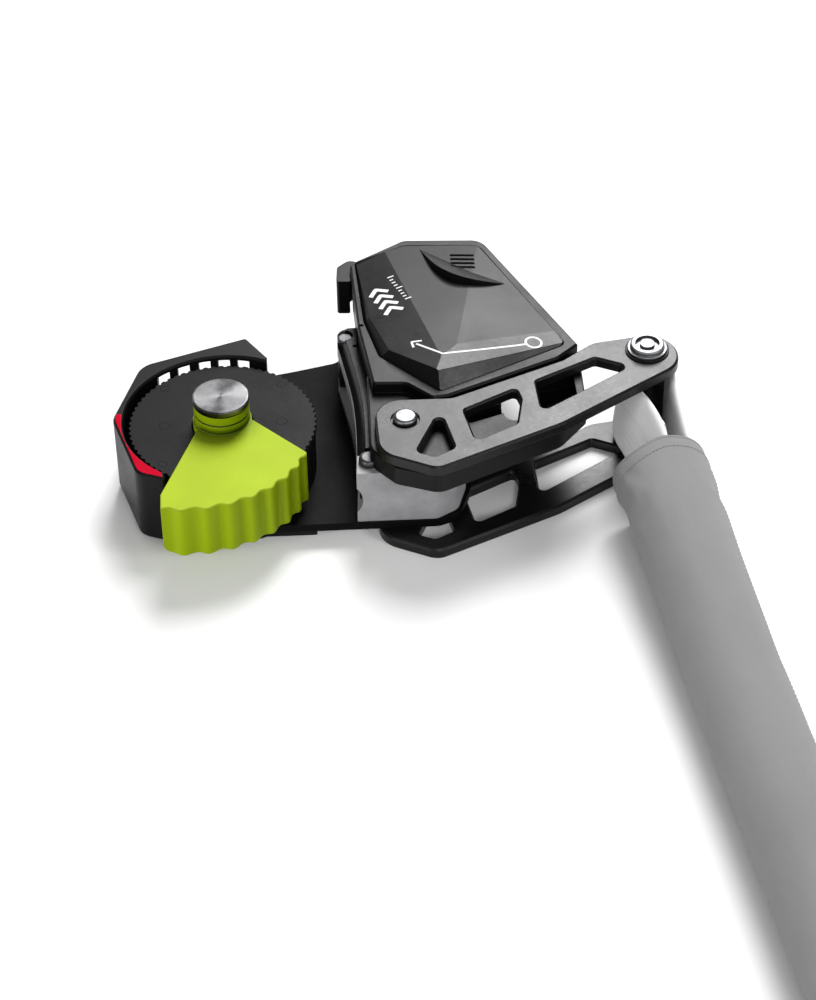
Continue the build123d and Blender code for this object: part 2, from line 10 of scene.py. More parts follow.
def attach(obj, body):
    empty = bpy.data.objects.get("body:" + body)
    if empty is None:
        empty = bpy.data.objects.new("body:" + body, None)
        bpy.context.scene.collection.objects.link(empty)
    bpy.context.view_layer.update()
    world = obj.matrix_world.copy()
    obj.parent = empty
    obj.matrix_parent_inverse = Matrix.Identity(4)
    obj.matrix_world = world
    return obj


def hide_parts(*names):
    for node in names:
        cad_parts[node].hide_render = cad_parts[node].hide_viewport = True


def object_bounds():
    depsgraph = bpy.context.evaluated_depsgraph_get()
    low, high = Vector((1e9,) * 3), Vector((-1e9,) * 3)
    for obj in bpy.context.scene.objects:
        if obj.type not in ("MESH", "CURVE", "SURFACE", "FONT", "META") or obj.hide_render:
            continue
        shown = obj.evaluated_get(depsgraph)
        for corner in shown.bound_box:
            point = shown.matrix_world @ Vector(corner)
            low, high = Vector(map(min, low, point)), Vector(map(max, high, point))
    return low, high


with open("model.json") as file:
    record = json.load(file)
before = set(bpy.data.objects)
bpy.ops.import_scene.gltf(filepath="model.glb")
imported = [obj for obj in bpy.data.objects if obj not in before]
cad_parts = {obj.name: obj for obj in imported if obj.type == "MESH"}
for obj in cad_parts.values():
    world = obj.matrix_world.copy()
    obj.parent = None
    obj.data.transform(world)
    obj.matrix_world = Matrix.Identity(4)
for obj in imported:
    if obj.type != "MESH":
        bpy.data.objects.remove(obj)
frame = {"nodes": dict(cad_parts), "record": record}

CAD_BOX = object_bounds()
MM = 0.001
SCENE = bpy.context.scene
NODES = frame["nodes"]

CAMERA_PLACE = (0.0283473, -0.5980576, 0.5088423)      # metres
CAMERA_FORWARD = (0.02750128, 0.75609671, -0.65388183)
CAMERA_RIGHT = (0.99878478, -0.04754673, -0.01297186)
CAMERA_LENS = 101.878                                  # millimetres, on a 36 mm sensor


# ------------------------------------------------------------------- camera
def make_camera():
    """Camera above and in front of the device, turned and rolled a little."""
    forward, right = Vector(CAMERA_FORWARD), Vector(CAMERA_RIGHT)
    above = right.cross(forward)
    data = bpy.data.cameras.new("camera")
    data.sensor_width, data.sensor_fit = 36.0, "AUTO"
    data.lens = CAMERA_LENS
    data.clip_start, data.clip_end = 0.01, 50.0
    camera = bpy.data.objects.new("camera", data)
    SCENE.collection.objects.link(camera)
    axes = Matrix((right, above, -forward)).transposed().to_4x4()
    camera.matrix_world = Matrix.Translation(CAMERA_PLACE) @ axes
    SCENE.camera = camera


make_camera()


# ---------------------------------------------------------------- materials
class Look:
    """A procedural material on one Principled shader, built a node at a time."""

    def __init__(self, name, **sockets):
        self.material = bpy.data.materials.new(name)
        self.material.use_nodes = True
        tree = self.material.node_tree
        self.nodes, self.links = tree.nodes, tree.links
        self.shader = tree.nodes["Principled BSDF"]
        self.place = self.node("ShaderNodeTexCoord").outputs["Object"]
        for key, value in sockets.items():
            self.set(key.replace("_", " "), value)

    def node(self, kind, inputs=None, **settings):
        made = self.nodes.new(kind)
        for key, value in settings.items():
            setattr(made, key, value)
        for key, value in (inputs or {}).items():
            self.feed(made.inputs[key], value)
        return made

    def feed(self, socket, value):
        if isinstance(value, bpy.types.NodeSocket):
            self.links.new(value, socket)
        else:
            socket.default_value = value

    def set(self, key, value):
        self.feed(self.shader.inputs[key], value)

    def noise(self, scale, detail=3.0, stretch=None, rough=0.5):
        place = self.place
        if stretch:
            place = self.node("ShaderNodeMapping", {"Vector": place, "Scale": stretch}).outputs[0]
        inputs = {"Vector": place, "Scale": scale, "Detail": detail, "Roughness": rough}
        return self.node("ShaderNodeTexNoise", inputs).outputs["Fac"]

    def remap(self, value, low, high, to_low=0.0, to_high=1.0):
        inputs = {"Value": value, "From Min": low, "From Max": high, "To Min": to_low, "To Max": to_high}
        return self.node("ShaderNodeMapRange", inputs).outputs["Result"]

    def math(self, kind, a, b=0.0):
        return self.node("ShaderNodeMath", {0: a, 1: b}, operation=kind).outputs[0]

    def mix(self, factor, a, b):
        made = self.node("ShaderNodeMix", data_type="RGBA")
        self.feed(made.inputs[0], factor)
        self.feed(made.inputs[6], a)
        self.feed(made.inputs[7], b)
        return made.outputs[2]

    def attribute(self, name):
        return self.node("ShaderNodeAttribute", attribute_name=name).outputs["Vector"]

    def wave(self, scale, direction="X", place=None, kind="BANDS", distortion=0.0):
        settings = {"wave_type": kind, "rings_direction" if kind == "RINGS" else "bands_direction": direction}
        inputs = {"Vector": place or self.place, "Scale": scale, "Distortion": distortion, "Detail": 0.0}
        return self.node("ShaderNodeTexWave", inputs, **settings).outputs["Fac"]

    def rounded(self, radius):
        """Normal with edges softened by a radius."""
        return self.node("ShaderNodeBevel", {"Radius": radius}, samples=6).outputs[0]

    def edges(self, radius):
        """1 along sharp edges, 0 on the faces."""
        bevel = self.rounded(radius)
        normal = self.node("ShaderNodeNewGeometry").outputs["Normal"]
        dot = self.node("ShaderNodeVectorMath", {0: bevel, 1: normal}, operation="DOT_PRODUCT").outputs["Value"]
        return self.remap(self.math("SUBTRACT", 1.0, dot), 0.02, 0.25)

    def bumped(self, height, strength, distance, normal=None):
        inputs = {"Height": height, "Strength": strength, "Distance": distance}
        if normal is not None:
            inputs["Normal"] = normal
        return self.node("ShaderNodeBump", inputs).outputs[0]

    def bump(self, *settings):
        self.set("Normal", self.bumped(*settings))


def rgb(red, green, blue):
    """Screen colour, 0 to 255, as the linear colour that a shader takes."""
    def linear(value):
        value /= 255.0
        return value / 12.92 if value <= 0.04045 else ((value + 0.055) / 1.055) ** 2.4
    return (linear(red), linear(green), linear(blue), 1.0)


def shade(color, factor):
    """The same colour, darker or lighter by a factor."""
    return tuple(c * factor for c in color[:3]) + (1.0,)


def hard_finish(name, base, worn, roughness, grain, depth=0.03, radius=0.3, uneven=0.06, **sockets):
    """Coated metal or moulded plastic: fine grain, uneven gloss and slightly worn edges."""
    look = Look(name, **sockets)
    patches = look.noise(60.0, 4.0)
    scuffs = look.noise(900.0, 6.0, rough=0.7)
    wear = look.math("MULTIPLY", look.edges(radius * MM), look.remap(scuffs, 0.42, 0.62))
    tone = look.mix(look.remap(patches, 0.3, 0.7), shade(base, 0.88), shade(base, 1.15))
    look.set("Base Color", look.mix(wear, tone, worn))
    look.set("Roughness", look.remap(look.math("ADD", patches, scuffs), 0.75, 1.25,
                                     roughness - uneven, roughness + uneven))
    look.bump(look.noise(grain, 2.0), 0.35, depth * MM, look.rounded(radius * MM))
    return look


def turned_metal(name, base, roughness, centre=(0.0, 0.0)):
    """Bright steel with concentric turning marks round its own axis, centre in millimetres."""
    look = Look(name, Metallic=1.0, Anisotropic=0.5)
    place = look.node("ShaderNodeVectorMath", {0: look.place, 1: (centre[0] * MM, centre[1] * MM, 0.0)},
                      operation="SUBTRACT").outputs[0]
    marks = look.noise(60.0, 3.0)
    look.set("Base Color", look.mix(marks, shade(base, 0.86), base))
    look.set("Roughness", look.remap(look.noise(1500.0, 4.0), 0.3, 0.7, roughness - 0.04, roughness + 0.06))
    look.set("Tangent", look.node("ShaderNodeTangent", direction_type="RADIAL", axis="Z").outputs[0])
    rings = look.wave(700.0, "Z", place, kind="RINGS", distortion=0.6)
    look.bump(rings, 0.12, 0.01 * MM, look.rounded(0.3 * MM))
    return look


def turned_face_painted_shine(name, light, dark, roughness):
    """Face turned on the wheel's axis: fine rings, brushed streaks and painted highlights, two light and two
    dark sectors fanning out from its middle.
    """
    look = Look(name, Metallic=1.0, Anisotropic=0.6)
    split = look.node("ShaderNodeSeparateXYZ", {"Vector": look.place}).outputs
    angle = look.math("ARCTAN2", split["Y"], split["X"])
    # painted reflection: two light and two dark sectors round the axis, with brushed streaks laid over them
    painted_highlight_fan = look.math("COSINE", look.math("MULTIPLY", look.math("ADD", angle, 0.28), 2.0))
    spokes = look.node("ShaderNodeVectorMath", {0: look.place}, operation="NORMALIZE").outputs[0]
    streaks = look.node("ShaderNodeTexNoise", {"Vector": spokes, "Scale": 7.0, "Detail": 6.0}).outputs["Fac"]
    highlights_and_streaks = look.math("ADD", look.remap(painted_highlight_fan, -1.0, 1.0), look.remap(streaks, 0.3, 0.7, -0.25, 0.25))
    look.set("Base Color", look.mix(highlights_and_streaks, dark, light))
    look.set("Roughness", look.remap(look.noise(1500.0, 4.0), 0.3, 0.7, roughness - 0.04, roughness + 0.06))
    look.set("Tangent", look.node("ShaderNodeTangent", direction_type="RADIAL", axis="Z").outputs[0])
    look.bump(look.wave(900.0, "Z", kind="RINGS", distortion=0.4), 0.2, 0.01 * MM, look.rounded(0.25 * MM))
    return look


def cast_metal(name, base, worn, roughness):
    """Sand-grey cast block: pitted, a little blotchy, brighter on its edges."""
    look = Look(name, Metallic=0.2, Specular_IOR_Level=0.2)
    blotches = look.noise(140.0, 5.0, rough=0.65)
    pits = look.noise(1900.0, 3.0)
    tone = look.mix(look.remap(blotches, 0.3, 0.7), shade(base, 0.72), base)
    look.set("Base Color", look.mix(look.math("MULTIPLY", look.edges(0.4 * MM), blotches), tone, worn))
    look.set("Roughness", look.remap(blotches, 0.3, 0.7, roughness - 0.06, roughness + 0.1))
    relief = look.math("ADD", pits, look.math("MULTIPLY", blotches, 1.5))
    look.bump(relief, 0.5, 0.05 * MM, look.rounded(0.4 * MM))
    return look


def anodised(name, base, painted_wall_shade, painted_deep_shade, worn, roughness):
    """Satin dyed aluminium: machining grain, worn edges, and painted shade that is darker where hemmed in, in
    grooves and on walls that turn away from up.
    """
    look = Look(name, Specular_IOR_Level=0.06)
    patches = look.noise(45.0, 3.0)
    grain = look.noise(2600.0, 3.0, stretch=(1.0, 0.35, 1.0))
    tone = look.mix(look.remap(patches, 0.3, 0.7), shade(base, 0.92), shade(base, 1.08))
    tone = look.mix(look.math("MULTIPLY", grain, 0.18), tone, shade(base, 0.6))
    # painted shade: the colour goes towards a darkened deep colour where the surface is hemmed in within 8 mm
    occlusion_shade = look.node("ShaderNodeAmbientOcclusion", {"Distance": 8.0 * MM}, samples=6).outputs["AO"]
    tone = look.mix(look.remap(occlusion_shade, 0.35, 0.9), shade(painted_deep_shade, 0.6), tone)
    # painted shade: grooves within 2.5 mm take the deep colour and other walls the wall colour; faces that turn
    # from up to sideways go from the lit tone to this shaded colour
    groove = look.node("ShaderNodeAmbientOcclusion", {"Distance": 2.5 * MM}, samples=6, only_local=True)
    normal = look.node("ShaderNodeNewGeometry").outputs["Normal"]
    facing = look.node("ShaderNodeSeparateXYZ", {"Vector": normal})
    side = look.mix(look.remap(groove.outputs["AO"], 0.66, 0.97), painted_deep_shade, painted_wall_shade)
    tone = look.mix(look.remap(facing.outputs["Z"], 0.1, 0.8), side, tone)
    look.set("Base Color", look.mix(look.math("MULTIPLY", look.edges(0.3 * MM), 0.75), tone, worn))
    look.set("Roughness", look.remap(grain, 0.3, 0.7, roughness - 0.05, roughness + 0.06))
    look.bump(grain, 0.25, 0.02 * MM, look.rounded(0.3 * MM))
    return look


def woven(name, base, across, along, depth, streak=0.0, sheen=0.3, crease=0.0):
    """Plain-woven cloth: threads across and along the piece's own cloth coordinates."""
    look = Look(name, Roughness=0.88, Sheen_Weight=sheen, Sheen_Roughness=0.5, Specular_IOR_Level=0.2)
    place = look.attribute("cloth")
    weft = look.wave(1.0 / (2.0 * along), "Y", place)
    warp = look.wave(1.0 / (2.0 * across), "X", place)
    weave = look.math("MAXIMUM", weft, warp)
    fuzz = look.noise(1400.0, 4.0, rough=0.7)
    cloudy = look.noise(35.0, 3.0)
    tone = look.mix(look.remap(cloudy, 0.3, 0.7), shade(base, 0.95), shade(base, 1.04))
    tone = look.mix(look.math("MULTIPLY", look.math("SUBTRACT", 1.0, weave), 0.35), tone, shade(base, 0.62))
    if streak:
        drawn = look.node("ShaderNodeMapping", {"Vector": place, "Scale": (1.0, 0.02, 1.0)}).outputs[0]
        bands = look.node("ShaderNodeTexNoise", {"Vector": drawn, "Scale": 900.0, "Detail": 3.0}).outputs["Fac"]
        tone = look.mix(look.remap(bands, 0.45, 0.75, 0.0, streak), tone, shade(base, 0.55))
    look.set("Base Color", tone)
    look.set("Roughness", look.remap(fuzz, 0.3, 0.7, 0.8, 0.95))
    folds = look.noise(38.0, 4.0, rough=0.55, stretch=(1.6, 0.7, 1.0))
    creases = look.bumped(folds, 0.6, crease * MM) if crease else None
    look.bump(look.math("ADD", weave, look.math("MULTIPLY", fuzz, 0.5)), 0.6, depth * MM, creases)
    return look


def printed(name, base, roughness, gloss=0.3):
    """Pad-printed ink: slightly broken, slightly uneven."""
    look = Look(name, Specular_IOR_Level=gloss)
    flecks = look.noise(2500.0, 4.0, rough=0.7)
    look.set("Base Color", look.mix(look.remap(flecks, 0.3, 0.55), shade(base, 0.8), base))
    look.set("Roughness", look.remap(flecks, 0.3, 0.7, roughness - 0.08, roughness + 0.08))
    look.bump(flecks, 0.2, 0.01 * MM)
    return look


LOOKS = {
    "anodised_black": hard_finish("anodised_black", rgb(12, 12, 13), rgb(60, 60, 62), 0.32, 4200.0, 0.02,
                                  Specular_IOR_Level=0.27),
    "guard_black": hard_finish("guard_black", rgb(10, 10, 11), rgb(44, 44, 46), 0.42, 2800.0,
                               Specular_IOR_Level=0.12),
    "housing_black": hard_finish("housing_black", rgb(8, 8, 9), rgb(40, 40, 42), 0.38, 2600.0,
                                 Specular_IOR_Level=0.17),
    "cover_black": hard_finish("cover_black", rgb(13, 13, 14), rgb(50, 50, 52), 0.34, 2400.0,
                               Specular_IOR_Level=0.21),
    "wheel_grey": hard_finish("wheel_grey", rgb(12, 12, 13), rgb(44, 44, 46), 0.50, 1800.0, 0.05,
                              Specular_IOR_Level=0.10),
    "spacer_black": hard_finish("spacer_black", rgb(7, 7, 8), rgb(26, 26, 28), 0.40, 3000.0,
                                Specular_IOR_Level=0.12),
    # cam colours: base, painted shade for walls, painted shade for grooves and hemmed-in places, worn edges
    "cam_green": anodised("cam_green", rgb(176, 200, 43), rgb(154, 178, 12), rgb(48, 72, 0),
                          rgb(200, 216, 104), 0.40),
    "steel_bright": turned_metal("steel_bright", rgb(128, 129, 131), 0.28),
    "jaw_cast": cast_metal("jaw_cast", rgb(150, 150, 152), rgb(176, 176, 178), 0.48),
    "spring_steel": hard_finish("spring_steel", rgb(120, 120, 124), rgb(150, 150, 154), 0.3, 3000.0,
                                Metallic=1.0),
    "bronze": hard_finish("bronze", rgb(130, 92, 48), rgb(180, 140, 84), 0.35, 3000.0, Metallic=1.0),
    "marker_red": hard_finish("marker_red", rgb(176, 2, 34), rgb(206, 60, 88), 0.35, 3000.0, 0.01, uneven=0.04,
                              Specular_IOR_Level=0.02),
    "webbing_white": woven("webbing_white", rgb(236, 236, 237), 0.55 * MM, 0.9 * MM, 0.10, streak=0.3),
    "sleeve_grey": woven("sleeve_grey", rgb(130, 130, 131), 0.34 * MM, 0.34 * MM, 0.06, sheen=0.1, crease=0.9),
}
BOLT, PIVOT = (116.8, 12.1), (49.2, -13.5)             # lanyard bolt and arm pivot, millimetres
PLATE = hard_finish("plate_black", rgb(7, 7, 8), rgb(34, 34, 36), 0.52, 3000.0, Specular_IOR_Level=0.05)
# light and dark colours of the painted reflection sectors
HEAD = turned_face_painted_shine("axle_head", rgb(132, 132, 133), rgb(48, 48, 49), 0.34)
BOLT_STEEL = turned_metal("bolt_steel", rgb(132, 133, 135), 0.42, BOLT)
DULL_STEEL = hard_finish("dull_steel", rgb(84, 84, 86), rgb(110, 110, 112), 0.42, 3000.0, Metallic=1.0)
PIVOT_STEEL = turned_metal("pivot_steel", rgb(118, 119, 121), 0.40, PIVOT)
THREAD = printed("thread_grey", rgb(132, 132, 133), 0.7, 0.1)
INK = printed("ink_white", rgb(224, 224, 224), 0.5)
# painted shade: near-black line for the shade in narrow gaps and slits, made with the ink recipe
GAP_SHADE_LINE = printed("dark_line", rgb(4, 4, 4), 0.9, 0.0)
DARK_INK = printed("ink_dark", rgb(8, 8, 8), 0.9, 0.02)


def dress_nodes():
    """Each CAD node takes the look of its material slot in the record."""
    for part in frame["record"]["subparts"]:
        node = NODES[part["node"]]
        node.data.materials.clear()
        node.data.materials.append(LOOKS[part["material_slot"]].material)
    for name, look in (("base_plate", PLATE), ("axle_pin", HEAD), ("attachment_bolt", BOLT_STEEL),
                       ("pivot_pin", PIVOT_STEEL), ("jaw_screws", DULL_STEEL), ("jaw_post", DULL_STEEL),
                       ("jaw_stud", DULL_STEEL), ("latch_pin", DULL_STEEL)):
        NODES[name].data.materials[0] = look.material


dress_nodes()


# ------------------------------------------------------------ mesh helpers
def mesh_object(name, points, faces, material, body, cloth=None, smooth=True):
    """Mesh piece from points in metres, riding on a body; cloth holds its flat coordinates."""
    mesh = bpy.data.meshes.new(name)
    mesh.from_pydata([tuple(p) for p in points], [], faces)
    mesh.update()
    if cloth:
        layer = mesh.attributes.new("cloth", "FLOAT_VECTOR", "POINT")
        layer.data.foreach_set("vector", [v for c in cloth for v in (c[0], c[1], 0.0)])
    mesh.materials.append(material)
    piece = bpy.data.objects.new(name, mesh)
    SCENE.collection.objects.link(piece)
    for polygon in mesh.polygons:
        polygon.use_smooth = smooth
    if body:
        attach(piece, body)
    return piece


def curve_through(points, count):
    """Evenly spaced points on a smooth curve through the given ones."""
    points = [Vector(p) for p in points]
    padded = [2 * points[0] - points[1]] + points + [2 * points[-1] - points[-2]]
    fine = []
    for i in range(1, len(padded) - 2):
        a, b, c, d = padded[i - 1:i + 3]
        for k in range(16):
            t = k / 16.0
            fine.append(0.5 * (2 * b + (c - a) * t + (2 * a - 5 * b + 4 * c - d) * t * t
                               + (3 * b - a - 3 * c + d) * t ** 3))
    fine.append(points[-1])
    lengths = [0.0]
    for p, q in zip(fine, fine[1:]):
        lengths.append(lengths[-1] + (q - p).length)
    result, j = [], 0
    for i in range(count):
        want = lengths[-1] * i / (count - 1)
        while j < len(fine) - 2 and lengths[j + 1] < want:
            j += 1
        span = lengths[j + 1] - lengths[j] or 1.0
        result.append(fine[j].lerp(fine[j + 1], min(1.0, (want - lengths[j]) / span)))
    return result


def ribbon(name, front, rear, thick, material, body, count, across=14, crown=0.3):
    """Strap between a front and a rear edge line, given in millimetres, with soft selvedges."""
    front, rear = curve_through(front, count), curve_through(rear, count)
    points, cloth, faces, run = [], [], [], 0.0
    ring = 2 * (across + 1)
    for i in range(count):
        before, after = max(i - 1, 0), min(i + 1, count - 1)
        ahead = (front[after] + rear[after]) - (front[before] + rear[before])
        side = (front[i] - rear[i])
        normal = ahead.cross(side).normalized()
        if i:
            run += ((front[i] + rear[i]) / 2 - (front[i - 1] + rear[i - 1]) / 2).length
        for face in (1, -1):
            steps = range(across + 1) if face == 1 else range(across, -1, -1)
            for k in steps:
                u = k / across
                middle = rear[i].lerp(front[i], u) + normal * crown * math.sin(math.pi * u)
                half = thick / 2 * (1 - 0.7 * abs(2 * u - 1) ** 8)
                points.append((middle + normal * half * face) * MM)
                cloth.append((side.length * u * MM, run * MM))
    for i in range(count - 1):
        a, b = i * ring, (i + 1) * ring
        faces += [(a + k, a + (k + 1) % ring, b + (k + 1) % ring, b + k) for k in range(ring)]
    faces += [tuple(range(ring))[::-1], tuple(range((count - 1) * ring, count * ring))]
    return mesh_object(name, points, faces, material, body, cloth)


# ----------------------------------------------------------------- soft goods
MOUTH, LEAN = Vector((117.1, -20.2, 0.0)), math.radians(7.95)
DOWN = Vector((math.sin(LEAN), -math.cos(LEAN), 0.0))
ACROSS = Vector((math.cos(LEAN), math.sin(LEAN), 0.0))
SLEEVE_LENGTH, SLEEVE_WIDE, SLEEVE_HIGH = 198.0, 23.2, 24.2
MOUTH_SLANT, MOUTH_FLARE, MOUTH_LIFT = 4.6, 1.2, 3.5
FLATTENED = 0.88                                       # section between an ellipse (1) and a box (0)
PUFF_FRAMES, PUFF_PRESSURE, PUFF_GROWTH, PUFF_CAP = 20, 2.0, 0.015, 0.55 * MM


def on_sleeve(distance, side, height):
    """Point by its distance from the mouth, its place across and its height, in millimetres."""
    return MOUTH + DOWN * distance + ACROSS * side + Vector((0.0, 0.0, height))


def smoothstep(value):
    value = max(0.0, min(1.0, value))
    return value * value * (3 - 2 * value)


def sleeve_shape(distance):
    """Half width, half height and middle height of the sleeve at a distance from its mouth."""
    lift = MOUTH_LIFT * (1 - smoothstep(distance / 85.0)) + 0.3
    closing = smoothstep((distance - 182.0) / 16.0)
    flare = MOUTH_FLARE * (1 - smoothstep(distance / 45.0))
    wide = (SLEEVE_WIDE / 2 + flare) * (1 - closing) + 2.6 * closing
    high = SLEEVE_HIGH / 2 - 0.4 * closing
    return wide, high, SLEEVE_HIGH / 2 + lift


def mouth_cut(angle):
    """How far the slanted mouth is cut back at an angle round the sleeve's axis."""
    return MOUTH_SLANT * max(0.0, -math.cos(angle)) * max(0.0, math.sin(angle))


def sleeve_grid(rows, around):
    """Rings of the sleeve from its mouth to its sewn end, with their flat cloth coordinates."""
    points, cloth = [], []
    for i in range(rows + 1):
        for j in range(around):
            angle = 2 * math.pi * j / around
            c, s = math.cos(angle), math.sin(angle)
            cut = mouth_cut(angle)
            distance = cut + (SLEEVE_LENGTH - cut) * i / rows
            wide, high, middle = sleeve_shape(distance)
            side = wide * math.copysign(abs(c) ** FLATTENED, c)
            height = middle + high * math.copysign(abs(s) ** FLATTENED, s)
            points.append(on_sleeve(distance, side, height) * MM)
            cloth.append((angle * 13.0 * MM, distance * MM))
    faces = [(i * around + j, i * around + (j + 1) % around, (i + 1) * around + (j + 1) % around,
              (i + 1) * around + j) for i in range(rows) for j in range(around)]
    return points, faces, cloth


def puff_up(piece, pinned, frames, pressure, grow, cap):
    """Runs a cloth simulation under inner pressure and keeps its shape, no point moving beyond cap."""
    rest = [v.co.copy() for v in piece.data.vertices]
    group = piece.vertex_groups.new(name="pinned")
    group.add(pinned, 1.0, "REPLACE")
    cloth = piece.modifiers.new("cloth", "CLOTH")
    settings = cloth.settings
    settings.quality, settings.mass = 6, 0.08
    settings.tension_stiffness = settings.compression_stiffness = 12.0
    settings.shear_stiffness, settings.bending_stiffness = 4.0, 0.15
    settings.use_pressure, settings.uniform_pressure_force = True, pressure
    settings.shrink_min = -grow
    settings.vertex_group_mass = "pinned"
    settings.effector_weights.gravity = 0.0
    cloth.point_cache.frame_start, cloth.point_cache.frame_end = 1, frames
    for step in range(1, frames + 1):
        SCENE.frame_set(step)
    shaped = piece.evaluated_get(bpy.context.evaluated_depsgraph_get()).to_mesh()
    moved = [v.co.copy() for v in shaped.vertices]
    piece.evaluated_get(bpy.context.evaluated_depsgraph_get()).to_mesh_clear()
    piece.modifiers.remove(cloth)
    piece.vertex_groups.remove(group)
    SCENE.frame_set(1)
    for vertex, old, new in zip(piece.data.vertices, rest, moved):
        shift = new - old
        if shift.length > cap:
            shift *= cap / shift.length
        vertex.co = old + shift
        vertex.co.z = min(max(vertex.co.z, 0.25 * MM), CAD_BOX[1][2])


def make_sleeve():
    """Padded sleeve, blown up a little by a cloth simulation and given a wall."""
    rows, around = 90, 56
    points, faces, cloth = sleeve_grid(rows, around)
    sleeve = mesh_object("sleeve", points, faces, LOOKS["sleeve_grey"].material, None, cloth)
    ends = list(range(around)) + list(range(rows * around, (rows + 1) * around))
    puff_up(sleeve, ends, PUFF_FRAMES, PUFF_PRESSURE, PUFF_GROWTH, PUFF_CAP)
    solid = sleeve.modifiers.new("thickness", "SOLIDIFY")
    solid.thickness, solid.offset = 0.8 * MM, -1.0
    subdivide = sleeve.modifiers.new("smooth", "SUBSURF")
    subdivide.levels = subdivide.render_levels = 1
    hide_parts("absorber_sleeve")
    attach(sleeve, "absorber")
    return sleeve


def make_loop():
    """White strap round the spacer: its left leg twists as it runs into the sleeve."""
    turn = [(-1, 12.1), (-0.62, 17.2), (0.0, 19.2), (0.62, 17.2), (1, 12.1)]
    front = [(118.9, -34, 24.0), (119.3, -24, 25.6), (118.7, -16, 26.6), (117.6, -10, 27.0), (115.8, -4, 27.2),
             (113.6, 1.0, 27.3), (111.2, 6.5, 27.4)]
    rear = [(113.6, -34, 6.8), (113.2, -24, 6.2), (112.6, -14, 5.6), (111.6, -6, 5.0), (110.4, 0.0, 4.8),
            (109.2, 4.5, 4.7), (108.5, 8.5, 4.6)]
    front += [(BOLT[0] + 6.6 * x, y, 27.4) for x, y in turn]
    rear += [(BOLT[0] + (7.9 if x < 0 else 6.8) * x, y + (0.4 if abs(x) == 1 else 0.8), 4.7) for x, y in turn]
    front += [(123.7, 4.0, 27.3), (124.1, -4.0, 27.0), (124.6, -14.0, 26.4), (124.8, -24.0, 25.4),
              (124.6, -34, 24.0)]
    rear += [(123.9, 4.0, 4.8), (124.4, -4.0, 5.2), (124.8, -14.0, 5.8), (124.8, -24.0, 6.4),
             (124.6, -34, 7.0)]
    loop = ribbon("webbing_strap", front, rear, 2.0, LOOKS["webbing_white"].material, "absorber", count=150)
    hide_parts("webbing_loop")


def make_eye():
    """Sewn eye at the harness end, narrowing towards the sleeve."""
    start, long, half = SLEEVE_LENGTH - 6.0, 46.0, 6.7
    outline = [(0, -1.2), (6, -1.3), (12, -3.2), (19, -6.0), (27, -half), (36, -half), (42.5, -4.9),
               (45.6, 0), (42.5, 4.9), (36, half), (27, half), (19, 6.0), (12, 3.2), (6, 1.3), (0, 1.2)]
    low = [on_sleeve(start + d, s, 1.6) for d, s in outline]
    high = [on_sleeve(start + d, s, 23.8) for d, s in outline]
    eye = ribbon("sewn_eye", high, low, 2.2, LOOKS["webbing_white"].material, "absorber", count=110)
    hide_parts("absorber_eye")


SLEEVE = make_sleeve()
make_loop()
make_eye()


# -------------------------------------------------------- marks and stitching
def surface_of(piece):
    """Search tree of a piece's final faces."""
    return BVHTree.FromObject(piece, bpy.context.evaluated_depsgraph_get())


def drape(trees, x, y, lift=0.03):
    """Point on the highest surface below (x, y), in millimetres, lifted clear of it."""
    hits = [tree.ray_cast(Vector((x, y, 60.0)) * MM, Vector((0, 0, -1)))[0] for tree in trees]
    hits = [hit for hit in hits if hit]
    return max(hits, key=lambda hit: hit.z) / MM + Vector((0, 0, lift)) if hits else None


def rounded_path(corners):
    """Closed path with round corners, from (x, y, radius) in millimetres."""
    path = []
    for n, (x, y, radius) in enumerate(corners):
        here = Vector((x, y))
        before = (Vector(corners[n - 1][:2]) - here).normalized()
        after = (Vector(corners[(n + 1) % len(corners)][:2]) - here).normalized()
        half = math.acos(max(-1.0, min(1.0, before.dot(after)))) / 2
        centre = here + (before + after).normalized() * radius / math.sin(half)
        reach = radius / math.tan(half)
        first, last = here + before * reach - centre, here + after * reach - centre
        turn = first.angle_signed(last)
        for k in range(7):
            angle = -turn * k / 6
            path.append((centre.x + first.x * math.cos(angle) - first.y * math.sin(angle),
                         centre.y + first.x * math.sin(angle) + first.y * math.cos(angle)))
    return path + path[:1]


def inked(name, nodes, strokes, width, look, step=0.5):
    """Flat strokes, printed marks or painted shade lines, laid on the fronts of nodes, each a list of (x, y) in
    millimetres.
    """
    trees = [surface_of(NODES[node]) for node in nodes.split()]
    points, faces = [], []
    for stroke in strokes:
        corners = [Vector(p) for p in stroke]
        last = None
        for n, (a, b) in enumerate(zip(corners, corners[1:])):
            count = max(1, round((b - a).length / step))
            for k in range(count + (n == len(corners) - 2)):
                spot = a.lerp(b, k / count)
                along = (b - (a if k else corners[max(n - 1, 0)])).normalized()
                aside = Vector((-along.y, along.x)) * width / 2
                pair = [drape(trees, *(spot + aside)), drape(trees, *(spot - aside))]
                if None in pair:
                    last = None
                    continue
                first = len(points)
                points += [p * MM for p in pair]
                if last is not None:
                    faces.append((last, last + 1, first + 1, first))
                last = first
    mesh_object(name, points, faces, look.material, "frame", smooth=False)


def circle(x, y, radius, steps=24):
    """Closed path round (x, y), in millimetres."""
    return [(x + radius * math.cos(math.radians(360 * k / steps)),
             y + radius * math.sin(math.radians(360 * k / steps))) for k in range(steps + 1)]


